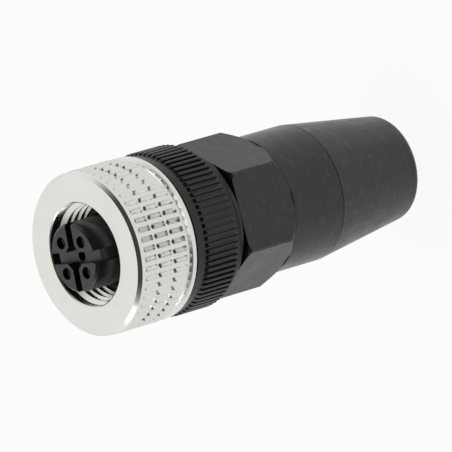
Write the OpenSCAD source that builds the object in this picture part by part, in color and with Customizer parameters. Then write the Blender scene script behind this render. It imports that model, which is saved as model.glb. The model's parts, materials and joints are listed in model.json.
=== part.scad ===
// M12 cable connector, socket side, four poles, screw terminals.
// The axis is +Z. It stands on the rear face of its gland nut at z = 0, with the contact face up.

/* [Height of each stage] */
// Tapered outside of the gland nut
gland_h = 13.8; // [12:0.1:16]
// Housing, from the gland nut to its front face
housing_h = 15.4; // [14:0.1:18]
// Neck between the housing and the grip ring, where the seal sits
neck_h = 1.6; // [1.3:0.05:2]
// Ribbed grip ring
grip_h = 6.7; // [6:0.1:8]
// Coupling nut
nut_h = 8.65; // [8.4:0.05:10]
// How far the contact face stands out of the coupling nut
face_reach = 1.65; // [0.5:0.05:2]

/* [Coupling nut] */
// Diameter over the knurl of the nut and over the ribs of the grip ring
head_d = 19.2; // [18.6:0.1:20]
// Nominal diameter of the coupling thread
thread_d = 12; // [11.9:0.02:12.1]
// Number of knurl teeth around the nut
knurl_teeth = 51; // [40:1:60]
// Rows of knurl teeth along the nut
knurl_rows = 3; // [2:1:4]
// Height of a knurl tooth
knurl_depth = 0.42; // [0.3:0.02:0.5]
// Width of a knurl tooth at its foot
knurl_w = 0.67; // [0.5:0.01:0.8]
// Plain rim in front of the knurl
nut_front_rim = 1; // [0.8:0.05:1.2]
// Plain rim behind the knurl
nut_rear_rim = 0.9; // [0.7:0.05:1.1]
// Ring groove between two rows of teeth
knurl_gap = 0.42; // [0.3:0.02:0.6]
// Chamfer around the nut's front face
nut_chamfer = 0.38; // [0.2:0.02:0.5]
// Thickness of the collar inside the nut's rear end
nut_collar_h = 2.05; // [1.8:0.05:2.2]

/* [Nut clip] */
// Thickness of the spring clip that keeps the nut on
clip_t = 0.8; // [0.6:0.05:0.9]
// Distance that the nut slides forward on the sleeve
nut_travel = 1.4; // [1:0.1:1.6]
// Opening of the clip
clip_gap = 2; // [1:0.5:3]

/* [Front sleeve] */
// Number of ribs around the grip ring
grip_ribs = 78; // [60:1:84]
// Height of a rib
rib_depth = 0.3; // [0.2:0.02:0.4]
// Width of a rib at its foot
rib_w = 0.5; // [0.4:0.02:0.54]
// Smooth collar in front of the ribs
grip_front_rim = 1.3; // [1:0.1:1.6]
// Smooth lip behind the ribs
grip_rear_rim = 0.45; // [0.3:0.05:0.7]
// Diameter of the tube that carries the nut
tube_d = 10.5; // [10.3:0.1:10.8]
// Distance from the nut's front face down to the end of the tube
tube_recess = 4.9; // [4.6:0.1:5]
// Diameter of the threaded spigot behind the grip ring
spigot_d = 13.9; // [13.7:0.1:14.2]
// Length of the threaded spigot inside the housing
spigot_in = 2.6; // [2:0.1:3.2]
// Bore for the terminal block
block_bore_d = 12; // [11.8:0.1:12.2]

/* [Contact carrier] */
// Diameter of the plug face
face_d = 8; // [7.8:0.05:8.1]
// Pitch circle of the contacts
pitch_circle = 5; // [4.8:0.05:5.1]
// Opening of a contact hole in the face
pin_hole_d = 1.4; // [1.2:0.05:1.6]
// Width of the channel that runs towards the key
key_channel_w = 1.3; // [1:0.05:1.4]
// Width of the channel across it
cross_channel_w = 1.05; // [0.8:0.05:1.3]
// Depth of both channels
channel_depth = 1.25; // [0.8:0.05:1.6]
// Width of the coding groove along the side
key_w = 1.45; // [1.2:0.05:1.6]
// Depth of the coding groove
key_depth = 0.65; // [0.5:0.05:0.8]
// Diameter of the blind hole in the middle of the face
centre_hole_d = 1.2; // [1:0.05:1.4]
// Thickness of the flange that seats in the sleeve
carrier_flange_h = 1.65; // [1.2:0.05:2]

/* [Contacts and terminals] */
// Diameter of a mating pin
pin_d = 1; // [0.96:0.01:1.02]
// Depth of a contact's socket
socket_depth = 7; // [6:0.25:8]
// Outside diameter of a contact's socket
socket_d = 1.9; // [1.8:0.05:2]
// Wall of the face in front of a contact
face_lip = 0.75; // [0.5:0.05:1]
// Diameter of a contact's terminal body
terminal_d = 2.8; // [2.6:0.05:2.9]
// Bore for a wire
wire_bore_d = 1.4; // [1.2:0.05:1.5]
// Depth of the bore for a wire
wire_bore_depth = 6; // [5:0.25:7]
// Diameter of a terminal screw
screw_d = 2; // [1.8:0.05:2.1]
// Length of a terminal screw
screw_len = 1.7; // [1.5:0.05:1.8]
// Height of the terminal screws above the rear of the block
screw_up = 4; // [3.5:0.1:5]
// Diameter of the part of the block behind the sleeve
block_tail_d = 10.6; // [10.4:0.1:11]
// Length of the part of the block inside the sleeve
block_head_h = 4.8; // [4:0.1:6]
// Length of the part of the block behind that
block_tail_h = 10.8; // [10:0.1:11]
// Floor of the block behind the contacts
block_floor = 1; // [0.8:0.1:1.4]

/* [Housing] */
// Size across the flats
hex_af = 16; // [15.8:0.1:16.1]
// How much the corners are turned down, on the radius
corner_cut = 0.09; // [0.05:0.01:0.2]
// How far the round part stands proud of the flats
barrel_proud = 0.1; // [0.05:0.05:0.3]
// Length of the flats with full corners
hex_h = 6.5; // [5:0.1:7]
// Length over which the corners run down to the round part
hex_runout = 1.5; // [1:0.1:2]
// Angle between the coding groove and the nearest flat
hex_turn = 5.4; // [-20:0.2:20]
// Bore around the terminal block
cavity_d = 12.4; // [12:0.1:12.8]
// Height of the wire space's floor above the gland nut
cavity_up = 3.2; // [3:0.1:3.5]
// Web between the cable seal and the wires
web_h = 1.2; // [1:0.1:1.5]
// Hole in the web
web_hole_d = 7.6; // [7:0.1:8.4]

/* [Cable gland] */
// Diameter of the housing's rear spigot, which carries the gland thread
gland_thread_d = 12.8; // [12.6:0.1:13.2]
// Length of that spigot
gland_spigot_h = 6.3; // [6:0.1:6.8]
// Pitch of the gland thread
gland_pitch = 0.75; // [0.5:0.25:0.75]
// Turns that loosen the gland nut
gland_turns = 3; // [2:1:3]
// Diameter of the gland nut's rear end
gland_rear_d = 12.4; // [12:0.1:13]
// Rounding of the rear edge
gland_round = 0.9; // [0.6:0.1:1.2]
// Cable hole in the gland nut
cable_hole_d = 7; // [6.4:0.1:7.4]
// Length of the cable hole's straight wall
cable_hole_h = 3; // [2.5:0.1:3.4]
// Bore for the seal and the clamp cage
seal_bore_d = 10.4; // [10.2:0.1:10.6]
// Height of the cable seal
seal_h = 3.9; // [3.4:0.1:4.2]
// Hole in the cable seal
seal_hole_d = 4.8; // [4.2:0.1:5.4]
// Thickness of the thrust ring and of the clamp cage's flange
ring_t = 0.6; // [0.5:0.05:0.8]
// Number of fingers on the clamp cage
cage_fingers = 8; // [6:1:10]
// Slot between two fingers
finger_gap = 0.7; // [0.5:0.05:1]
// Wall of a finger
finger_t = 1.1; // [0.9:0.05:1.3]

/* [Seals] */
// Cord of the seal around the plug face
front_seal_cord = 1.1; // [1:0.05:1.15]
// Cord of the seal in the neck
neck_seal_cord = 1.5; // [1.2:0.05:1.55]

/* [Clearances] */
// Radial clearance of pieces that turn or slide in each other
running = 0.05; // [0.03:0.01:0.08]
// Gap between faces that meet end to end
seat = 0.05; // [0.02:0.01:0.08]
// Radial clearance of pieces that are pushed together
push_fit = 0.03; // [0.02:0.01:0.05]
// Radial clearance of a mating pin in its socket
pin_fit = 0.02; // [0.01:0.005:0.04]

/* [Hidden] */
$fn = 96;
cut = 1;

// Heights of the stages above the rear face
housing_z = gland_h + seat;
neck_z = gland_h + housing_h;
grip_z = neck_z + neck_h;
grip_top = grip_z + grip_h;
nut_z = grip_top + seat;
nut_top = nut_z + nut_h;
face_z = nut_top + face_reach;

// Coupling nut
knurl_r = head_d / 2;
floor_r = knurl_r - knurl_depth;
rim_r = knurl_r - 0.05;
thread_r = thread_d / 2 + pin_fit;
knurl_top = nut_top - nut_front_rim;
row_h = (nut_h - nut_front_rim - nut_rear_rim) / knurl_rows;
front_slope = 0.08;
rear_slope = 0.3;
tooth_half = asin(knurl_w / 2 / floor_r);
entry_chamfer = 0.13;

// Clip, and the two grooves that it sits in
clip_z = nut_z + 0.6;
clip_groove_r = tube_d / 2 - 0.45;
clip_in_r = clip_groove_r + running;
clip_out_r = tube_d / 2 + 0.45;
clip_groove_h = clip_t + nut_travel + 2 * seat;
tube_top = nut_top - tube_recess;

// Sleeve
rib_r = head_d / 2;
rib_foot_r = rib_r - rib_depth;
rib_half = asin(rib_w / 2 / rib_foot_r);
carrier_seat_z = grip_top - 0.9;
spigot_end = neck_z - spigot_in;

// Terminal block and contacts
carrier_top_seat = carrier_seat_z - seat;
carrier_flange_z = carrier_top_seat - carrier_flange_h;
block_top = carrier_flange_z - seat;
block_z = block_top - block_head_h - block_tail_h;
contact_top = face_z - face_lip;
contact_z = block_z + block_floor + seat;
screw_z = block_z + screw_up;
first_contact = 45;
lug_w = 1.6;
lug_out = 0.5;

// Housing
barrel_r = hex_af / 2 + barrel_proud;
corner_r = hex_af / 2 / cos(30) - corner_cut;
cavity_z = gland_h + cavity_up;
web_z = cavity_z - web_h;
hex_z = neck_z - hex_h;
runout_z = hex_z - hex_runout;
spigot_pocket_z = spigot_end - 0.2;

// Gland
gland_pocket_z = gland_h - gland_spigot_h;
gland_spigot_z = gland_pocket_z + 0.2;
seal_r = seal_bore_d / 2 - push_fit;
seal_z = web_z - seat - seal_h;
thrust_z = seal_z - seat - ring_t;
cage_flange_z = thrust_z - seat - ring_t;
cage_r = seal_bore_d / 2 - running;
finger_r = cage_r - 0.15;
cage_tip_z = cable_hole_h + 1.3;
cage_tip_r = cable_hole_d / 2 + 0.25;
key_r = seal_bore_d / 2 + 0.45;
cage_key_w = 1.2;
gland_rear_r = gland_rear_d / 2;

function polar(r, a) = [r * cos(a), r * sin(a)];
function contact_angle(n) = first_contact + 90 * (n - 1);

// A disc between two heights
module disc(r, z0, z1) {
    translate([0, 0, z0]) cylinder(r = r, h = z1 - z0);
}

// A hole that runs past both heights
module hole(r, z0, z1) {
    disc(r, z0 - cut, z1 + cut);
}

// A ring of round cord
module cord_ring(inner_r, cord, z) {
    rotate_extrude()
        translate([inner_r + cord / 2, z])
            circle(d = cord, $fn = 32);
}

// ---------------------------------------------------------------- coupling nut

// Outline of all teeth seen along the axis
module knurl_star() {
    foot_r = floor_r - knurl_depth / 2;
    pitch = 360 / knurl_teeth;
    foot = tooth_half * (1 + knurl_depth / 2 / knurl_depth);
    polygon([for (i = [0:knurl_teeth - 1], k = [-1:1])
        polar(k == 0 ? knurl_r : foot_r, i * pitch + k * foot)]);
}

// Section of one row of teeth: steep in front, sloping behind
module knurl_row_section(z_top) {
    z_bottom = z_top - row_h + knurl_gap;
    polygon([
        [floor_r - knurl_depth, z_bottom],
        [floor_r, z_bottom],
        [knurl_r, z_bottom + rear_slope],
        [knurl_r, z_top - front_slope],
        [floor_r, z_top],
        [floor_r - knurl_depth, z_top]]);
}

module knurl() {
    intersection() {
        translate([0, 0, nut_z])
            linear_extrude(nut_h)
                knurl_star();
        rotate_extrude()
            for (row = [0:knurl_rows - 1])
                knurl_row_section(knurl_top - row * row_h);
    }
}

module coupling_nut() {
    collar_top = nut_z + nut_collar_h;
    bore_r = tube_d / 2 + running;
    front_band_r = rim_r - 0.05;
    color("silver")
    difference() {
        union() {
            rotate_extrude()
                polygon([
                    [0, nut_z],
                    [rim_r - nut_chamfer / 2, nut_z],
                    [rim_r, nut_z + nut_chamfer / 2],
                    [rim_r, nut_z + nut_rear_rim - nut_chamfer / 2],
                    [floor_r, nut_z + nut_rear_rim],
                    [floor_r, knurl_top],
                    [front_band_r, knurl_top + 0.1],
                    [front_band_r, nut_top - nut_chamfer],
                    [front_band_r - nut_chamfer, nut_top],
                    [0, nut_top]]);
            knurl();
        }
        hole(bore_r, nut_z, nut_top);
        disc(thread_r, collar_top, nut_top + cut);
        disc(clip_out_r + running, clip_z - seat, clip_z + clip_t + seat);
        translate([0, 0, nut_top - entry_chamfer])
            cylinder(r1 = thread_r, r2 = thread_r + entry_chamfer + 0.02, h = entry_chamfer + 0.02);
    }
}

// The spring clip sits in the nut and slides along the wide groove of the sleeve
module nut_clip() {
    color("lightgray")
    difference() {
        disc(clip_out_r, clip_z, clip_z + clip_t);
        hole(clip_in_r, clip_z, clip_z + clip_t);
        translate([0, -clip_gap / 2, clip_z - cut])
            cube([knurl_r, clip_gap, clip_t + 2 * cut]);
    }
}

// ---------------------------------------------------------------- front sleeve

// Outline of all ribs seen along the axis, each with a rounded crest
module rib_star() {
    pitch = 360 / grip_ribs;
    crest_r = rib_foot_r + rib_depth * 0.7;
    polygon([for (i = [0:grip_ribs - 1])
        for (p = [[-1.1, rib_foot_r - rib_depth / 2], [-0.85, crest_r], [-0.4, rib_r],
                  [0.4, rib_r], [0.85, crest_r], [1.1, rib_foot_r - rib_depth / 2]])
            polar(p[1], i * pitch + p[0] * rib_half)]);
}

module grip_ribs() {
    z0 = grip_z + grip_rear_rim;
    z1 = grip_top - grip_front_rim;
    intersection() {
        translate([0, 0, z0])
            linear_extrude(z1 - z0)
                rib_star();
        rotate_extrude()
            polygon([
                [rib_foot_r - rib_depth, z0],
                [rib_foot_r, z0],
                [rib_r, z0 + rib_depth],
                [rib_r, z1 - rib_depth],
                [rib_foot_r, z1],
                [rib_foot_r - rib_depth, z1]]);
    }
}

module front_sleeve() {
    color([0.1, 0.1, 0.11])
    difference() {
        union() {
            rotate_extrude()
                polygon([
                    [0, spigot_end],
                    [spigot_d / 2 - 0.3, spigot_end],
                    [spigot_d / 2, spigot_end + 0.3],
                    [spigot_d / 2, grip_z],
                    [rib_foot_r - 0.2, grip_z],
                    [rib_foot_r, grip_z + 0.2],
                    [rib_foot_r, grip_top - 0.2],
                    [rib_foot_r - 0.2, grip_top],
                    [tube_d / 2, grip_top],
                    [tube_d / 2, tube_top],
                    [0, tube_top]]);
            grip_ribs();
        }
        hole(face_d / 2 + push_fit, carrier_seat_z, tube_top);
        disc(block_bore_d / 2, spigot_end - cut, carrier_seat_z);
        difference() {
            disc(tube_d / 2 + cut, clip_z - seat, clip_z - seat + clip_groove_h);
            hole(clip_groove_r, clip_z - seat, clip_z - seat + clip_groove_h);
        }
        insert_lug(running, spigot_end - cut, carrier_seat_z);
    }
}

// ---------------------------------------------------------------- contact carrier

// The lug that stops the insert from turning, grown by a clearance for its slot
module insert_lug(grow, z0, z1) {
    translate([-block_bore_d / 2 - lug_out - grow, -lug_w / 2 - grow, z0])
        cube([lug_out + 1 + grow, lug_w + 2 * grow, z1 - z0]);
}

// Channels that leave one post around each contact
module face_channels() {
    z0 = face_z - channel_depth;
    translate([-face_d, -key_channel_w / 2, z0])
        cube([2 * face_d, key_channel_w, channel_depth + cut]);
    translate([-cross_channel_w / 2, -face_d, z0])
        cube([cross_channel_w, 2 * face_d, channel_depth + cut]);
}

module contact_carrier() {
    edge = 0.25;
    relief_r = 0.5;
    z0 = face_z - channel_depth;
    color([0.16, 0.16, 0.17])
    difference() {
        union() {
            rotate_extrude()
                polygon([
                    [0, carrier_flange_z],
                    [block_bore_d / 2 - push_fit, carrier_flange_z],
                    [block_bore_d / 2 - push_fit, carrier_top_seat],
                    [face_d / 2, carrier_top_seat],
                    [face_d / 2, face_z - edge],
                    [face_d / 2 - edge, face_z],
                    [0, face_z]]);
            insert_lug(0, carrier_flange_z, carrier_top_seat);
        }
        face_channels();
        for (x = [-1, 1], y = [-1, 1])
            translate([x * cross_channel_w / 2, y * key_channel_w / 2, z0])
                rotate([0, 0, 45])
                    translate([-relief_r, -relief_r, 0])
                        cube([2 * relief_r, 2 * relief_r, channel_depth + cut]);
        translate([face_d / 2 - key_depth, -key_w / 2, tube_top + front_seal_cord])
            cube([key_depth + cut, key_w, face_z - tube_top]);
        disc(centre_hole_d / 2, z0 - 1.5, z0 + cut);
        for (n = [1:4])
            translate(polar(pitch_circle / 2, contact_angle(n))) {
                disc(pin_hole_d / 2, contact_top - cut, face_z + cut);
                disc(socket_d / 2 + running, carrier_flange_z - cut, contact_top + seat);
            }
    }
}

// ---------------------------------------------------------------- terminals

module terminal_block() {
    head_r = block_bore_d / 2 - push_fit;
    head_z = block_top - block_head_h;
    color([0.2, 0.2, 0.21])
    difference() {
        union() {
            disc(head_r, head_z, block_top);
            insert_lug(0, head_z, block_top);
            disc(block_tail_d / 2, block_z, head_z + cut);
        }
        for (n = [1:4])
            translate(polar(pitch_circle / 2, contact_angle(n))) {
                disc(terminal_d / 2 + push_fit, block_z + block_floor, block_top + cut);
                disc(wire_bore_d / 2 + 0.3, block_z - cut, block_z + block_floor + cut);
            }
        for (n = [1:4])
            rotate([0, 0, contact_angle(n)])
                translate([pitch_circle / 2, 0, screw_z])
                    rotate([0, 90, 0])
                        cylinder(d = screw_d + 2 * running, h = block_tail_d);
    }
}

// Turned socket contact: a split socket in front, a screw terminal behind
module contact(n) {
    slot_w = 0.25;
    neck = carrier_flange_z - seat;
    color([0.83, 0.68, 0.35])
    rotate([0, 0, contact_angle(n)])
    translate([pitch_circle / 2, 0, 0])
    difference() {
        union() {
            disc(socket_d / 2, contact_z + cut, contact_top);
            disc(terminal_d / 2, contact_z, neck);
        }
        disc(pin_d / 2 + pin_fit, contact_top - socket_depth, contact_top + cut);
        disc(wire_bore_d / 2, contact_z - cut, contact_z + wire_bore_depth);
        translate([-slot_w / 2, 0, contact_top - socket_depth])
            cube([slot_w, socket_d, socket_depth + cut]);
        translate([0, 0, screw_z])
            rotate([0, 90, 0])
                cylinder(d = screw_d, h = terminal_d);
    }
}

// Slotted grub screw, which points inwards at its contact's wire bore
module terminal_screw(n) {
    slot_w = 0.4;
    slot_depth = 0.5;
    out_r = pitch_circle / 2 + wire_bore_d / 2 + screw_len;
    color([0.72, 0.72, 0.7])
    rotate([0, 0, contact_angle(n)])
    translate([out_r, 0, screw_z])
    rotate([0, -90, 0])
    difference() {
        union() {
            cylinder(d = screw_d - 2 * push_fit, h = screw_len - 0.3);
            cylinder(d = screw_d - 0.6, h = screw_len);
        }
        translate([-slot_w / 2, -screw_d, -cut])
            cube([slot_w, 2 * screw_d, slot_depth + cut]);
    }
}

// ---------------------------------------------------------------- housing

// Hexagonal head, whose corners run down into the round part
module hex_head() {
    edge = 0.3;
    run_in = 0.02;
    slope = (corner_r - barrel_r + run_in) / hex_runout;
    root_z = runout_z - hex_runout / 3;
    intersection() {
        translate([0, 0, root_z])
            rotate([0, 0, hex_turn + 30])
                cylinder(d = hex_af / cos(30), h = neck_z - root_z, $fn = 6);
        rotate_extrude()
            polygon([
                [0, root_z - cut],
                [corner_r - slope * (hex_z - root_z + cut), root_z - cut],
                [corner_r, hex_z],
                [corner_r, neck_z - edge],
                [corner_r - edge, neck_z],
                [corner_r - edge, neck_z + cut],
                [0, neck_z + cut]]);
    }
}

module housing() {
    color([0.14, 0.14, 0.15])
    difference() {
        union() {
            hex_head();
            disc(barrel_r, housing_z, runout_z);
            disc(gland_thread_d / 2, gland_spigot_z, housing_z + cut);
        }
        disc(spigot_d / 2 + push_fit, spigot_pocket_z, neck_z + cut);
        disc(cavity_d / 2, cavity_z, spigot_pocket_z + cut);
        hole(web_hole_d / 2, web_z, cavity_z);
        disc(seal_bore_d / 2, gland_spigot_z - cut, web_z);
        for (a = [0, 180])
            rotate([0, 0, a])
                translate([0, -cage_key_w / 2 - running, gland_spigot_z - cut])
                    cube([key_r + running, cage_key_w + 2 * running,
                        thrust_z - gland_spigot_z + cut]);
    }
}

// ---------------------------------------------------------------- cable gland

module cable_seal() {
    lip = 0.6;
    color([0.2, 0.2, 0.2])
    rotate_extrude()
        polygon([
            [seal_hole_d / 2 + lip, seal_z],
            [seal_r, seal_z],
            [seal_r, seal_z + seal_h],
            [seal_hole_d / 2 + lip, seal_z + seal_h],
            [seal_hole_d / 2, seal_z + seal_h - lip],
            [seal_hole_d / 2, seal_z + lip]]);
}

module thrust_ring() {
    color([0.75, 0.75, 0.72])
    difference() {
        disc(cage_r, thrust_z, thrust_z + ring_t);
        hole(seal_hole_d / 2 + 0.8, thrust_z, thrust_z + ring_t);
    }
}

// Fingers hang from a keyed flange and lean on the cone inside the gland nut
module clamp_cage() {
    cone_z = gland_pocket_z;
    color([0.85, 0.85, 0.82])
    difference() {
        union() {
            rotate_extrude()
                polygon([
                    [cage_tip_r - finger_t, cage_tip_z],
                    [cage_tip_r, cage_tip_z],
                    [finger_r, cone_z],
                    [finger_r, cage_flange_z],
                    [cage_r, cage_flange_z],
                    [cage_r, cage_flange_z + ring_t],
                    [finger_r - finger_t, cage_flange_z + ring_t],
                    [finger_r - finger_t, cone_z]]);
            for (a = [0, 180])
                rotate([0, 0, a])
                    translate([cage_r - 0.4, -cage_key_w / 2, cage_flange_z])
                        cube([key_r - cage_r + 0.4, cage_key_w, ring_t]);
        }
        for (i = [1:cage_fingers])
            rotate([0, 0, (i - 0.5) * 360 / cage_fingers])
                translate([0, -finger_gap / 2, cage_tip_z - cut])
                    cube([cage_r + cut, finger_gap, cage_flange_z - cage_tip_z - 0.6 + cut]);
    }
}

// Tapered outline with a rounded rear edge that runs smoothly into the taper
module gland_section() {
    taper = atan((barrel_r - gland_rear_r) / gland_h);
    round_x = gland_rear_r - gland_round * (1 - sin(taper)) / cos(taper);
    far = 2 * gland_round;
    difference() {
        polygon([
            [0, 0],
            [gland_rear_r, 0],
            [barrel_r, gland_h],
            [0, gland_h]]);
        difference() {
            polygon([
                [round_x, -cut],
                [round_x + far, -cut],
                [round_x + far * cos(taper), gland_round - far * sin(taper)],
                [round_x, gland_round]]);
            translate([round_x, gland_round])
                circle(r = gland_round);
        }
    }
}

module gland_nut() {
    lean = running + 0.1;
    pocket_r = gland_thread_d / 2 + running;
    color([0.2, 0.19, 0.21])
    difference() {
        rotate_extrude()
            gland_section();
        disc(pocket_r, gland_pocket_z, gland_h + cut);
        rotate_extrude()
            polygon([
                [0, cable_hole_h],
                [cable_hole_d / 2, cable_hole_h],
                [cage_tip_r + lean, cage_tip_z],
                [finger_r + lean, gland_pocket_z],
                [finger_r + lean, gland_pocket_z + cut],
                [0, gland_pocket_z + cut]]);
        hole(cable_hole_d / 2, 0, cable_hole_h);
    }
}

// ---------------------------------------------------------------- seals

module neck_seal() {
    color([0.08, 0.08, 0.08])
    cord_ring(spigot_d / 2 + push_fit, neck_seal_cord, neck_z + neck_h / 2);
}

module front_seal() {
    color([0.08, 0.08, 0.08])
    cord_ring(face_d / 2 + push_fit, front_seal_cord, tube_top + front_seal_cord / 2 + seat);
}

gland_nut();
clamp_cage();
thrust_ring();
cable_seal();
housing();
neck_seal();
front_sleeve();
terminal_block();
contact_carrier();
front_seal();
nut_clip();
coupling_nut();
contact(1);  // contact_1
contact(2);  // contact_2
contact(3);  // contact_3
contact(4);  // contact_4
terminal_screw(1);  // terminal_screw_1
terminal_screw(2);  // terminal_screw_2
terminal_screw(3);  // terminal_screw_3
terminal_screw(4);  // terminal_screw_4
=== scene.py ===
"""Looks of a straight M12 cable connector with screw terminals.

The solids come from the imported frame. This script gives the visible ones soft edges, adds the
turns of the coupling thread, and builds the finishes, the light, the floor and the camera.
"""

import json
import logging
import math
from dataclasses import dataclass, field
from enum import Enum

import bpy
from mathutils import Matrix, Vector

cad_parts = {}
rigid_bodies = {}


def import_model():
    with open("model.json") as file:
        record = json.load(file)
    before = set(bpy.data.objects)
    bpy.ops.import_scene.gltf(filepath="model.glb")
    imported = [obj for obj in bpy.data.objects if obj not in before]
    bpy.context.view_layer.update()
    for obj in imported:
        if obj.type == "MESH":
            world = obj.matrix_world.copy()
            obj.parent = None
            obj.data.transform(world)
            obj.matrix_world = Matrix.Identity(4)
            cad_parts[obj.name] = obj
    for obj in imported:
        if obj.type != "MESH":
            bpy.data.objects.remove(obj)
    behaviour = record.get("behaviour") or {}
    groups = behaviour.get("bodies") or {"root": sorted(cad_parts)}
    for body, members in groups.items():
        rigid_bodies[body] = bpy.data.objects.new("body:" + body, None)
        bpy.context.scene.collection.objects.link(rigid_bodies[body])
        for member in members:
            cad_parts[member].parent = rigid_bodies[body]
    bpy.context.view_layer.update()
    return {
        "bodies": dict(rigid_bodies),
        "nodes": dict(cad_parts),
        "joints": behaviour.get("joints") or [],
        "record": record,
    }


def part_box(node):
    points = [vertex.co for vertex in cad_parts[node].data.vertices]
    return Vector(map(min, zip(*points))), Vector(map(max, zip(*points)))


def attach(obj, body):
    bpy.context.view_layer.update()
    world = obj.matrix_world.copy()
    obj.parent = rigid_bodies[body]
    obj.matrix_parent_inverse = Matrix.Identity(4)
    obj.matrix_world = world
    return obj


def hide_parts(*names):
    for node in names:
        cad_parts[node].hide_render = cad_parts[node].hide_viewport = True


LOG = logging.getLogger("m12_connector")
MM = 0.001

MERGE_MM = 0.0005  # points closer than this become one
FLAT_ANGLE = 0.4  # neighbouring faces within this many degrees become one
SMOOTH_ANGLE = 38  # edges flatter than this many degrees are shaded smooth
NORMAL_WEIGHT = 60  # how far large faces rule the shading of their edges
MOTTLE_RANGE = (0.3, 0.7)  # the part of the slow pattern that changes the gloss
GLOSS_SHARES = (0.85, 1.2)  # roughness at the two ends of that part, as shares of its own


class Body(Enum):
    """The moving bodies that a piece can ride on."""

    HOUSING = "housing"
    NUT_CLIP = "nut_clip"
    COUPLING_NUT = "coupling_nut"
    CLAMP_CAGE = "clamp_cage"
    GLAND_NUT = "gland_nut"


# ---------------------------------------------------------------- mesh tools


def take(obj: bpy.types.Object) -> None:
    """Makes obj the only selected object and the active one.

    Args:
        obj: the object to work on.
    """
    bpy.ops.object.select_all(action="DESELECT")
    obj.select_set(True)
    bpy.context.view_layer.objects.active = obj


def apply_modifier(obj: bpy.types.Object, kind: str, **settings: object) -> None:
    """Adds a modifier, sets it and applies it.

    Args:
        obj: the object that gets it.
        kind: the modifier's type.
        **settings: its properties by name.
    """
    take(obj)
    modifier = obj.modifiers.new(kind.title(), kind)
    for key, value in settings.items():
        setattr(modifier, key, value)
    bpy.ops.object.modifier_apply(modifier=modifier.name)


def soften(obj: bpy.types.Object, width_mm: float, angle: float, segments: int = 2) -> None:
    """Joins a solid's loose triangles into faces and rounds its sharp edges.

    Args:
        obj: a copy of a solid, in metres.
        width_mm: width of the rounding, or 0 for sharp edges.
        angle: smallest angle between two faces that gets rounded, in degrees.
        segments: number of faces across the rounding.
    """
    obj.data.transform(Matrix.Scale(1 / MM, 4))
    take(obj)
    bpy.ops.object.mode_set(mode="EDIT")
    bpy.ops.mesh.select_all(action="SELECT")
    bpy.ops.mesh.remove_doubles(threshold=MERGE_MM)
    bpy.ops.mesh.dissolve_limited(angle_limit=math.radians(FLAT_ANGLE))
    bpy.ops.object.mode_set(mode="OBJECT")
    if width_mm > 0:
        apply_modifier(
            obj,
            "BEVEL",
            width=width_mm,
            segments=segments,
            limit_method="ANGLE",
            angle_limit=math.radians(angle),
            use_clamp_overlap=True,
            miter_outer="MITER_ARC",
        )
    take(obj)
    bpy.ops.object.shade_smooth_by_angle(angle=math.radians(SMOOTH_ANGLE))
    apply_modifier(obj, "WEIGHTED_NORMAL", keep_sharp=True, weight=NORMAL_WEIGHT)
    obj.data.transform(Matrix.Scale(MM, 4))


def copy_of(node: bpy.types.Object, name: str) -> bpy.types.Object:
    """Copies a solid of the frame into a new piece.

    Args:
        node: the frame's object.
        name: the new piece's name.

    Returns:
        A free object at the origin with its own mesh.
    """
    mesh = node.data.copy()
    mesh.materials.clear()
    piece = bpy.data.objects.new(name, mesh)
    bpy.context.scene.collection.objects.link(piece)
    return piece


# ---------------------------------------------------------------- shared effects


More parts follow.
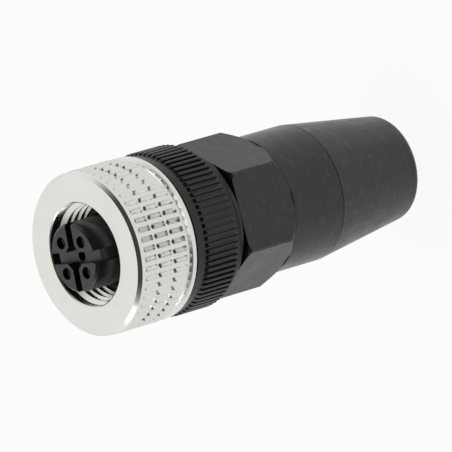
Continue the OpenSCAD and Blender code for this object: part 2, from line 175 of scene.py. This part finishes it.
@dataclass
class Effects:
    """Node groups that more than one finish uses.

    mottle_share is the slow pattern's scale as a share of the grain's. The rub marks appear
    where their noise lies above mark_floor, and are full from mark_full.
    """

    grain: bpy.types.NodeTree = field(init=False)
    scuffs: bpy.types.NodeTree = field(init=False)
    turning: bpy.types.NodeTree = field(init=False)
    mottle_share: float = 0.07
    mark_turn: tuple = (0.5, 0.9, 0.3)
    mark_stretch: tuple = (0.25, 1.0, 1.6)
    mark_floor: float = 0.5
    mark_full: float = 0.72

    def build(self) -> None:
        """Builds the three groups once."""
        self.grain = self._grain()
        self.scuffs = self._scuffs()
        self.turning = self._turning()
        LOG.info("built the shared effects")

    @staticmethod
    def _tree(
        name: str, inputs: list, outputs: list
    ) -> tuple[bpy.types.NodeTree, bpy.types.Node, bpy.types.Node]:
        """Starts a group.

        Args:
            name: the group's name.
            inputs: pairs of socket name and default, where None means a vector.
            outputs: names of the number outputs.

        Returns:
            The tree, its input node and its output node.
        """
        tree = bpy.data.node_groups.new(name, "ShaderNodeTree")
        for label, default in inputs:
            kind = "NodeSocketVector" if default is None else "NodeSocketFloat"
            socket = tree.interface.new_socket(label, in_out="INPUT", socket_type=kind)
            if default is not None:
                socket.default_value = default
        for label in outputs:
            tree.interface.new_socket(label, in_out="OUTPUT", socket_type="NodeSocketFloat")
        return tree, tree.nodes.new("NodeGroupInput"), tree.nodes.new("NodeGroupOutput")

    def _grain(self) -> bpy.types.NodeTree:
        """Builds the fine surface grain and the slow colour drift.

        Returns:
            The group.
        """
        tree, given, out = self._tree(
            "surface_grain", [("Vector", None), ("Scale", 4000.0)], ["Height", "Mottle"]
        )
        link = tree.links.new
        fine = tree.nodes.new("ShaderNodeTexNoise")
        fine.inputs["Detail"].default_value = 3.0
        link(given.outputs["Vector"], fine.inputs["Vector"])
        link(given.outputs["Scale"], fine.inputs["Scale"])
        slow_scale = tree.nodes.new("ShaderNodeMath")
        slow_scale.operation = "MULTIPLY"
        slow_scale.inputs[1].default_value = self.mottle_share
        link(given.outputs["Scale"], slow_scale.inputs[0])
        slow = tree.nodes.new("ShaderNodeTexNoise")
        slow.inputs["Detail"].default_value = 5.0
        slow.inputs["Roughness"].default_value = 0.6
        link(given.outputs["Vector"], slow.inputs["Vector"])
        link(slow_scale.outputs[0], slow.inputs["Scale"])
        link(fine.outputs["Fac"], out.inputs["Height"])
        link(slow.outputs["Fac"], out.inputs["Mottle"])
        return tree

    def _scuffs(self) -> bpy.types.NodeTree:
        """Builds sparse light rub marks, stretched across the piece.

        Returns:
            The group.
        """
        tree, given, out = self._tree(
            "rub_marks", [("Vector", None), ("Scale", 900.0), ("Amount", 0.5)], ["Mask"]
        )
        link = tree.links.new
        stretch = tree.nodes.new("ShaderNodeMapping")
        stretch.inputs["Rotation"].default_value = self.mark_turn
        stretch.inputs["Scale"].default_value = self.mark_stretch
        link(given.outputs["Vector"], stretch.inputs["Vector"])
        marks = tree.nodes.new("ShaderNodeTexNoise")
        marks.inputs["Detail"].default_value = 6.0
        marks.inputs["Roughness"].default_value = 0.7
        link(stretch.outputs["Vector"], marks.inputs["Vector"])
        link(given.outputs["Scale"], marks.inputs["Scale"])
        ramp = tree.nodes.new("ShaderNodeMapRange")
        ramp.inputs["From Min"].default_value = self.mark_floor
        ramp.inputs["From Max"].default_value = self.mark_full
        link(marks.outputs["Fac"], ramp.inputs["Value"])
        amount = tree.nodes.new("ShaderNodeMath")
        amount.operation = "MULTIPLY"
        link(ramp.outputs["Result"], amount.inputs[0])
        link(given.outputs["Amount"], amount.inputs[1])
        link(amount.outputs[0], out.inputs["Mask"])
        return tree

    def _turning(self) -> bpy.types.NodeTree:
        """Builds the lathe's fine rings, which run round the axis on faces and on walls.

        Returns:
            The group.
        """
        tree, given, out = self._tree(
            "lathe_rings", [("Vector", None), ("Scale", 9000.0)], ["Height"]
        )
        link = tree.links.new
        split = tree.nodes.new("ShaderNodeSeparateXYZ")
        link(given.outputs["Vector"], split.inputs[0])
        flat = tree.nodes.new("ShaderNodeCombineXYZ")
        link(split.outputs["X"], flat.inputs["X"])
        link(split.outputs["Y"], flat.inputs["Y"])
        radius = tree.nodes.new("ShaderNodeVectorMath")
        radius.operation = "LENGTH"
        link(flat.outputs[0], radius.inputs[0])
        rings = tree.nodes.new("ShaderNodeCombineXYZ")
        link(radius.outputs["Value"], rings.inputs["X"])
        link(split.outputs["Z"], rings.inputs["Y"])
        noise = tree.nodes.new("ShaderNodeTexNoise")
        noise.inputs["Detail"].default_value = 2.0
        link(rings.outputs[0], noise.inputs["Vector"])
        link(given.outputs["Scale"], noise.inputs["Scale"])
        link(noise.outputs["Fac"], out.inputs["Height"])
        return tree


@dataclass(frozen=True)
class Finish:
    """One surface finish of the connector.

    grain_mm and rings_mm are heights of relief in millimetres, grain_scale counts features per
    metre, drift is the share by which the colour wanders, and scuffs the strength of rub marks.
    """

    name: str
    colour: tuple
    roughness: float
    metallic: float = 0.0
    specular: float = 0.5
    drift: float = 0.12
    grain_scale: float = 4500.0
    grain_mm: float = 0.006
    scuffs: float = 0.0
    scuff_colour: tuple = (0.2, 0.2, 0.2)
    rings_mm: float = 0.0

    def build(self, effects: Effects) -> bpy.types.Material:
        """Builds the material.

        Args:
            effects: the shared node groups.

        Returns:
            The finished material.
        """
        material = bpy.data.materials.new(self.name)
        material.use_nodes = True
        nodes, link = material.node_tree.nodes, material.node_tree.links.new
        shader = nodes["Principled BSDF"]
        shader.inputs["Metallic"].default_value = self.metallic
        shader.inputs["Specular IOR Level"].default_value = self.specular
        place = nodes.new("ShaderNodeTexCoord")
        grain = self._group(material, effects.grain, place)
        grain.inputs["Scale"].default_value = self.grain_scale
        tint = nodes.new("ShaderNodeMix")
        tint.data_type = "RGBA"
        tint.inputs["A"].default_value = (*[c * (1 - self.drift) for c in self.colour], 1)
        tint.inputs["B"].default_value = (*[min(1, c * (1 + self.drift)) for c in self.colour], 1)
        link(grain.outputs["Mottle"], tint.inputs["Factor"])
        colour = tint.outputs["Result"]
        gloss = nodes.new("ShaderNodeMapRange")
        gloss.inputs["From Min"].default_value = MOTTLE_RANGE[0]
        gloss.inputs["From Max"].default_value = MOTTLE_RANGE[1]
        gloss.inputs["To Min"].default_value = self.roughness * GLOSS_SHARES[0]
        gloss.inputs["To Max"].default_value = min(1.0, self.roughness * GLOSS_SHARES[1])
        link(grain.outputs["Mottle"], gloss.inputs["Value"])
        if self.scuffs > 0:
            rub = self._group(material, effects.scuffs, place)
            rub.inputs["Amount"].default_value = self.scuffs
            worn = nodes.new("ShaderNodeMix")
            worn.data_type = "RGBA"
            worn.inputs["B"].default_value = (*self.scuff_colour, 1)
            link(rub.outputs["Mask"], worn.inputs["Factor"])
            link(colour, worn.inputs["A"])
            colour = worn.outputs["Result"]
        link(colour, shader.inputs["Base Color"])
        link(gloss.outputs["Result"], shader.inputs["Roughness"])
        relief = nodes.new("ShaderNodeBump")
        relief.inputs["Strength"].default_value = 1.0
        relief.inputs["Distance"].default_value = self.grain_mm * MM
        link(grain.outputs["Height"], relief.inputs["Height"])
        normal = relief.outputs["Normal"]
        if self.rings_mm > 0:
            turned = self._group(material, effects.turning, place)
            cut = nodes.new("ShaderNodeBump")
            cut.inputs["Strength"].default_value = 1.0
            cut.inputs["Distance"].default_value = self.rings_mm * MM
            link(turned.outputs["Height"], cut.inputs["Height"])
            link(normal, cut.inputs["Normal"])
            normal = cut.outputs["Normal"]
        link(normal, shader.inputs["Normal"])
        return material

    @staticmethod
    def _group(
        material: bpy.types.Material, tree: bpy.types.NodeTree, place: bpy.types.Node
    ) -> bpy.types.Node:
        """Places a shared effect in a material and feeds it object coordinates.

        Args:
            material: the material that gets the effect.
            tree: the shared group.
            place: the material's coordinate node.

        Returns:
            The new group node.
        """
        node = material.node_tree.nodes.new("ShaderNodeGroup")
        node.node_tree = tree
        material.node_tree.links.new(place.outputs["Object"], node.inputs["Vector"])
        return node


FINISHES = {
    "nickel": Finish(
        "satin_nickel", (0.7, 0.695, 0.66), 0.19, metallic=1.0, drift=0.07,
        grain_scale=6000.0, grain_mm=0.0007, rings_mm=0.0008,
    ),
    "grip_black": Finish(
        "satin_black_moulding", (0.006, 0.006, 0.0065), 0.3, drift=0.2, specular=0.4,
        grain_scale=5000.0, grain_mm=0.003,
    ),
    "body_black": Finish(
        "matte_black_moulding", (0.0065, 0.0065, 0.0075), 0.32, drift=0.5,
        grain_scale=5200.0, grain_mm=0.014, scuffs=0.5, scuff_colour=(0.085, 0.085, 0.094),
    ),
    # The gland nut is the housing's black moulding with a lighter, more purple base colour and
    # rub-mark colour. This is painted sheen: it stands in for the light that the taper reflects,
    # not a grey plastic of its own. The rub marks themselves are wear.
    "gland_grey": Finish(
        "black_moulding_with_painted_sheen", (0.0105, 0.0098, 0.013), 0.36, drift=0.5,
        grain_scale=4800.0, grain_mm=0.02, scuffs=0.6, scuff_colour=(0.1, 0.098, 0.115),
    ),
    "insert_grey": Finish(
        "smooth_grey_moulding", (0.009, 0.009, 0.0098), 0.32, drift=0.15,
        grain_scale=5200.0, grain_mm=0.003,
    ),
    "seal_rubber": Finish(
        "black_rubber", (0.014, 0.014, 0.014), 0.6, drift=0.2, grain_mm=0.004,
    ),
    "contact_gold": Finish(
        "gold_plate", (0.66, 0.46, 0.2), 0.34, metallic=1.0, drift=0.06,
        grain_mm=0.001, rings_mm=0.002,
    ),
    "screw_steel": Finish(
        "turned_steel", (0.56, 0.55, 0.54), 0.34, metallic=1.0, drift=0.08, grain_mm=0.002,
    ),
    "clip_steel": Finish(
        "spring_steel", (0.46, 0.46, 0.47), 0.36, metallic=1.0, drift=0.08, grain_mm=0.002,
    ),
    "cage_white": Finish(
        "natural_moulding", (0.66, 0.64, 0.58), 0.48, drift=0.06, grain_mm=0.005,
        scuffs=0.1, scuff_colour=(0.5, 0.48, 0.43),
    ),
}


@dataclass
class Workshop:
    """What every sub-assembly needs to make its pieces."""

    frame: dict
    effects: Effects
    materials: dict = field(default_factory=dict)

    def material(self, slot: str) -> bpy.types.Material:
        """Gives the material of a slot, which is built at its first use.

        Args:
            slot: the slot's name.

        Returns:
            The material.
        """
        if slot not in self.materials:
            self.materials[slot] = FINISHES[slot].build(self.effects)
        return self.materials[slot]

    def slot_of(self, node: str) -> str:
        """Gives the material slot that the record names for a node."""
        parts = self.frame["record"]["subparts"]
        return next(p["material_slot"] for p in parts if p["node"] == node)

    def dress(self, node: str) -> None:
        """Gives a solid of the frame its finish.

        Args:
            node: the solid's name.
        """
        solid = self.frame["nodes"][node]
        solid.data.materials.clear()
        solid.data.materials.append(self.material(self.slot_of(node)))
        LOG.info("dressed %s", node)

    def rework(self, node: str, body: Body, width_mm: float, angle: float = 30.0) -> None:
        """Replaces a solid with a copy that has soft edges.

        Args:
            node: the solid's name.
            body: the body that the piece rides on.
            width_mm: width of the rounding.
            angle: smallest edge angle that gets rounded, in degrees.
        """
        piece = copy_of(self.frame["nodes"][node], f"{node}_finished")
        soften(piece, width_mm, angle)
        piece.data.materials.append(self.material(self.slot_of(node)))
        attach(piece, body.value)
        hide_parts(node)
        LOG.info("reworked %s: %d faces", node, len(piece.data.polygons))


# ---------------------------------------------------------------- sub-assemblies


@dataclass
class CouplingNut:
    """The knurled nut, its inner thread and the clip that holds it.

    The thread's ridge starts inside the wall of the bore, and both its ends sink into that wall
    over one part in fade_parts of a turn.
    """

    shop: Workshop
    edge_mm: float = 0.022
    edge_angle: float = 28.0
    pitch_mm: float = 1.0
    turns: float = 5.6
    wall_r_mm: float = 6.05
    crest_r_mm: float = 5.46
    root_w_mm: float = 0.9
    crest_w_mm: float = 0.2
    front_gap_mm: float = 0.12
    steps: int = 64
    profile_points: int = 4
    fade_parts: int = 3
    on_wall_mm: float = 0.01
    smooth_angle: float = 30.0

    def build(self) -> None:
        """Makes the nut, the thread and the clip."""
        self.shop.rework("coupling_nut", Body.COUPLING_NUT, self.edge_mm, self.edge_angle)
        self.shop.dress("nut_clip")
        self._thread()

    def _thread(self) -> None:
        """Sweeps the thread's ridge along the bore."""
        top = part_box("coupling_nut")[1][2] / MM - self.front_gap_mm
        start = top - self.turns * self.pitch_mm - self.root_w_mm
        turns = int(self.turns)
        ridge = self._profile(start)
        apply_modifier(
            ridge,
            "SCREW",
            angle=math.tau,
            screw_offset=self.pitch_mm,
            iterations=turns,
            steps=self.steps,
            render_steps=self.steps,
            axis="Z",
            use_merge_vertices=False,
        )
        take(ridge)
        bpy.ops.object.mode_set(mode="EDIT")
        bpy.ops.mesh.select_all(action="SELECT")
        bpy.ops.mesh.remove_doubles(threshold=MERGE_MM)
        bpy.ops.mesh.select_all(action="DESELECT")
        bpy.ops.mesh.select_non_manifold()
        bpy.ops.mesh.fill_holes(sides=self.profile_points)
        bpy.ops.mesh.select_all(action="SELECT")
        bpy.ops.mesh.normals_make_consistent(inside=False)
        bpy.ops.object.mode_set(mode="OBJECT")
        self._run_out(ridge)
        bpy.ops.object.shade_smooth_by_angle(angle=math.radians(self.smooth_angle))
        ridge.data.transform(Matrix.Scale(MM, 4))
        ridge.data.materials.append(self.shop.material("nickel"))
        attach(ridge, Body.COUPLING_NUT.value)
        LOG.info("made the coupling thread: %d faces", len(ridge.data.polygons))

    def _profile(self, start: float) -> bpy.types.Object:
        """Makes the ridge's section as a closed loop of edges, wide at the wall.

        Args:
            start: height of the section's lower corner, in millimetres.

        Returns:
            The loop, in millimetres.
        """
        depth = self.wall_r_mm - self.crest_r_mm
        middle = self.wall_r_mm - depth / 2
        bpy.ops.object.select_all(action="DESELECT")
        bpy.ops.mesh.primitive_plane_add(size=1.0, location=(0, 0, 0))
        section = bpy.context.active_object
        section.name = "coupling_thread"
        bpy.ops.object.mode_set(mode="EDIT")
        bpy.ops.mesh.select_all(action="SELECT")
        bpy.ops.mesh.delete(type="ONLY_FACE")
        bpy.ops.object.mode_set(mode="OBJECT")
        section.data.transform(Matrix.Rotation(math.radians(90), 4, "X"))
        section.data.transform(Matrix.Diagonal((depth, 1.0, self.root_w_mm, 1.0)))
        section.data.transform(Matrix.Translation((middle, 0, start + self.root_w_mm / 2)))
        for vertex in section.data.vertices:
            vertex.select = vertex.co.x < middle
        bpy.ops.object.mode_set(mode="EDIT")
        bpy.context.tool_settings.mesh_select_mode = (True, False, False)
        bpy.ops.transform.resize(value=(1, 1, self.crest_w_mm / self.root_w_mm))
        bpy.ops.object.mode_set(mode="OBJECT")
        return section

    def _run_out(self, ridge: bpy.types.Object) -> None:
        """Lets both ends of the ridge sink into the wall of the bore.

        Args:
            ridge: the swept ridge, in millimetres.
        """
        count = len(ridge.data.vertices)
        fade = self.steps // self.fade_parts
        for index, vertex in enumerate(ridge.data.vertices):
            step = min(index, count - 1 - index) // self.profile_points
            radius = math.hypot(vertex.co.x, vertex.co.y)
            if step < fade and radius < self.wall_r_mm - self.on_wall_mm:
                wanted = self.wall_r_mm - (self.wall_r_mm - radius) * (step + 1) / (fade + 1)
                vertex.co.x *= wanted / radius
                vertex.co.y *= wanted / radius
        ridge.data.update()


@dataclass
class FrontSleeve:
    """The ribbed grip ring with the contact insert, the contacts and both seals."""

    shop: Workshop
    edge_mm: float = 0.04
    edge_angle: float = 28.0
    insert_edge_mm: float = 0.05
    block_edge_mm: float = 0.08
    contact_edge_mm: float = 0.04
    screw_edge_mm: float = 0.05
    contacts: int = 4

    def build(self) -> None:
        """Makes the sleeve and what it holds."""
        self.shop.rework("front_sleeve", Body.HOUSING, self.edge_mm, self.edge_angle)
        self.shop.rework("contact_carrier", Body.HOUSING, self.insert_edge_mm)
        self.shop.rework("terminal_block", Body.HOUSING, self.block_edge_mm)
        for name in ("front_seal", "neck_seal"):
            self.shop.rework(name, Body.HOUSING, 0.0)
        for number in range(1, self.contacts + 1):
            self.shop.rework(f"contact_{number}", Body.HOUSING, self.contact_edge_mm)
            self.shop.rework(f"terminal_screw_{number}", Body.HOUSING, self.screw_edge_mm)


@dataclass
class Housing:
    """The hexagonal housing with its cable seal and thrust ring."""

    shop: Workshop
    edge_mm: float = 0.16
    edge_angle: float = 20.0
    seal_edge_mm: float = 0.15
    ring_edge_mm: float = 0.06

    def build(self) -> None:
        """Makes the housing and the soft parts in its rear end."""
        self.shop.rework("housing", Body.HOUSING, self.edge_mm, self.edge_angle)
        self.shop.rework("cable_seal", Body.HOUSING, self.seal_edge_mm)
        self.shop.rework("thrust_ring", Body.HOUSING, self.ring_edge_mm)


@dataclass
class CableGland:
    """The tapered gland nut and the clamp cage inside it."""

    shop: Workshop
    edge_mm: float = 0.1
    edge_angle: float = 25.0
    cage_edge_mm: float = 0.06

    def build(self) -> None:
        """Makes the nut and the cage."""
        self.shop.rework("gland_nut", Body.GLAND_NUT, self.edge_mm, self.edge_angle)
        self.shop.rework("clamp_cage", Body.CLAMP_CAGE, self.cage_edge_mm)


# ---------------------------------------------------------------- studio


@dataclass
class Studio:
    """Floor, world, lamps and camera.

    The camera's angles are in degrees. The tent fades from tent_level to opening_level as a
    direction turns towards the lens, over the cosines tent_ends to opening_starts.
    """

    azimuth: float = 8.5034
    elevation: float = 39.0843
    roll: float = -106.3623
    distance_mm: float = 834.53
    aim_right_mm: float = -0.5768
    aim_up_mm: float = -1.5773
    aim_height_mm: float = 24.0
    lens: float = 578.723
    sensor_mm: float = 36.0
    near_m: float = 0.01
    far_m: float = 20.0
    tent_ends: float = -0.05
    opening_starts: float = 0.7
    tent_level: float = 1.05
    opening_level: float = 0.06
    floor_m: float = 3.0
    floor_gap_m: float = 0.00002
    floor_white: float = 0.9
    floor_glow: float = 0.93
    lamp_height_mm: float = 28.0
    lamp_distance_m: float = 0.6

    def axes(self) -> tuple[Vector, Vector, Vector]:
        """Works out which way the camera is turned.

        Returns:
            Its right, up and backward directions.
        """
        az, el, turn = (math.radians(a) for a in (self.azimuth, self.elevation, self.roll))
        back = Vector((math.cos(el) * math.cos(az), math.cos(el) * math.sin(az), math.sin(el)))
        side = Vector((-math.sin(az), math.cos(az), 0))
        rise = back.cross(side)
        right = math.cos(turn) * side + math.sin(turn) * rise
        up = -math.sin(turn) * side + math.cos(turn) * rise
        return right, up, back

    def build(self) -> None:
        """Builds the whole studio."""
        self._camera()
        self._world()
        self._floor()
        self._lamps()
        bpy.context.scene.view_settings.view_transform = "Standard"
        LOG.info("built the studio")

    def _camera(self) -> None:
        """Places the camera and makes it the one in use."""
        right, up, back = self.axes()
        target = Vector((0, 0, self.aim_height_mm)) + right * self.aim_right_mm
        target += up * self.aim_up_mm
        data = bpy.data.cameras.new("camera")
        data.sensor_width = self.sensor_mm
        data.lens = self.lens
        data.clip_start = self.near_m
        data.clip_end = self.far_m
        camera = bpy.data.objects.new("camera", data)
        bpy.context.scene.collection.objects.link(camera)
        turn = Matrix((right, up, back)).transposed().to_4x4()
        camera.matrix_world = Matrix.Translation((target + back * self.distance_mm) * MM) @ turn
        bpy.context.scene.camera = camera

    def _world(self) -> None:
        """Hangs a white tent with a dark opening on the side that the lens looks from."""
        world = bpy.data.worlds.new("tent")
        bpy.context.scene.world = world
        world.use_nodes = True
        nodes, link = world.node_tree.nodes, world.node_tree.links.new
        nodes.clear()
        place = nodes.new("ShaderNodeTexCoord")
        toward = nodes.new("ShaderNodeVectorMath")
        toward.operation = "DOT_PRODUCT"
        toward.inputs[1].default_value = self.axes()[2]
        link(place.outputs["Generated"], toward.inputs[0])
        opening = nodes.new("ShaderNodeMapRange")
        opening.interpolation_type = "SMOOTHSTEP"
        opening.inputs["From Min"].default_value = self.tent_ends
        opening.inputs["From Max"].default_value = self.opening_starts
        opening.inputs["To Min"].default_value = self.tent_level
        opening.inputs["To Max"].default_value = self.opening_level
        link(toward.outputs["Value"], opening.inputs["Value"])
        tent = nodes.new("ShaderNodeBackground")
        link(opening.outputs["Result"], tent.inputs["Strength"])
        white = nodes.new("ShaderNodeBackground")
        white.inputs["Strength"].default_value = 1.0
        white.inputs["Color"].default_value = (1, 1, 1, 1)
        tent.inputs["Color"].default_value = (1, 1, 1, 1)
        path = nodes.new("ShaderNodeLightPath")
        mix = nodes.new("ShaderNodeMixShader")
        link(path.outputs["Is Camera Ray"], mix.inputs["Fac"])
        link(tent.outputs[0], mix.inputs[1])
        link(white.outputs[0], mix.inputs[2])
        out = nodes.new("ShaderNodeOutputWorld")
        link(mix.outputs[0], out.inputs["Surface"])

    def _floor(self) -> None:
        """Lays a plain white floor that keeps a soft shadow."""
        bpy.ops.object.select_all(action="DESELECT")
        bpy.ops.mesh.primitive_plane_add(
            size=self.floor_m, location=(0, 0, -self.floor_gap_m)
        )
        floor = bpy.context.active_object
        floor.name = "studio_floor"
        material = bpy.data.materials.new("white_floor")
        material.use_nodes = True
        nodes, link = material.node_tree.nodes, material.node_tree.links.new
        nodes.clear()
        paint = nodes.new("ShaderNodeBsdfDiffuse")
        paint.inputs["Color"].default_value = (*[self.floor_white] * 3, 1)
        glow = nodes.new("ShaderNodeEmission")
        glow.inputs["Color"].default_value = (1, 1, 1, 1)
        glow.inputs["Strength"].default_value = 1.0
        path = nodes.new("ShaderNodeLightPath")
        seen = nodes.new("ShaderNodeMath")
        seen.operation = "MAXIMUM"
        link(path.outputs["Is Camera Ray"], seen.inputs[0])
        link(path.outputs["Is Glossy Ray"], seen.inputs[1])
        share = nodes.new("ShaderNodeMath")
        share.operation = "MULTIPLY"
        share.inputs[1].default_value = self.floor_glow
        link(seen.outputs[0], share.inputs[0])
        mix = nodes.new("ShaderNodeMixShader")
        link(share.outputs[0], mix.inputs["Fac"])
        link(paint.outputs[0], mix.inputs[1])
        link(glow.outputs[0], mix.inputs[2])
        out = nodes.new("ShaderNodeOutputMaterial")
        link(mix.outputs[0], out.inputs["Surface"])
        floor.data.materials.append(material)

    def _lamps(self) -> None:
        """Hangs three soft panels round the object: above, below and in front of the nut."""
        right, up, back = self.axes()
        middle = Vector((0, 0, self.lamp_height_mm)) * MM
        # name, direction, watts and diameter in metres
        panels = (
            ("upper_panel", up - right * 0.1 + back * 0.2, 0.7, 0.35),
            ("front_panel", Vector((0, 0, 1)) - right * 0.3, 0.6, 0.4),
            ("lower_panel", back * 0.05 - up, 0.5, 0.35),
        )
        for name, direction, power, size in panels:
            data = bpy.data.lights.new(name, "AREA")
            data.shape = "DISK"
            data.size = size
            data.energy = power
            lamp = bpy.data.objects.new(name, data)
            bpy.context.scene.collection.objects.link(lamp)
            lamp.location = middle + direction.normalized() * self.lamp_distance_m
            lamp.rotation_euler = direction.to_track_quat("Z", "Y").to_euler()


def main() -> None:
    """Builds the connector and its studio."""
    logging.basicConfig(level=logging.INFO, format="%(name)s: %(message)s")
    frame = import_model()
    Studio().build()
    effects = Effects()
    effects.build()
    shop = Workshop(frame, effects)
    for assembly in (CouplingNut(shop), FrontSleeve(shop), Housing(shop), CableGland(shop)):
        assembly.build()
        LOG.info("finished %s", type(assembly).__name__)


if __name__ == "__main__":
    main()
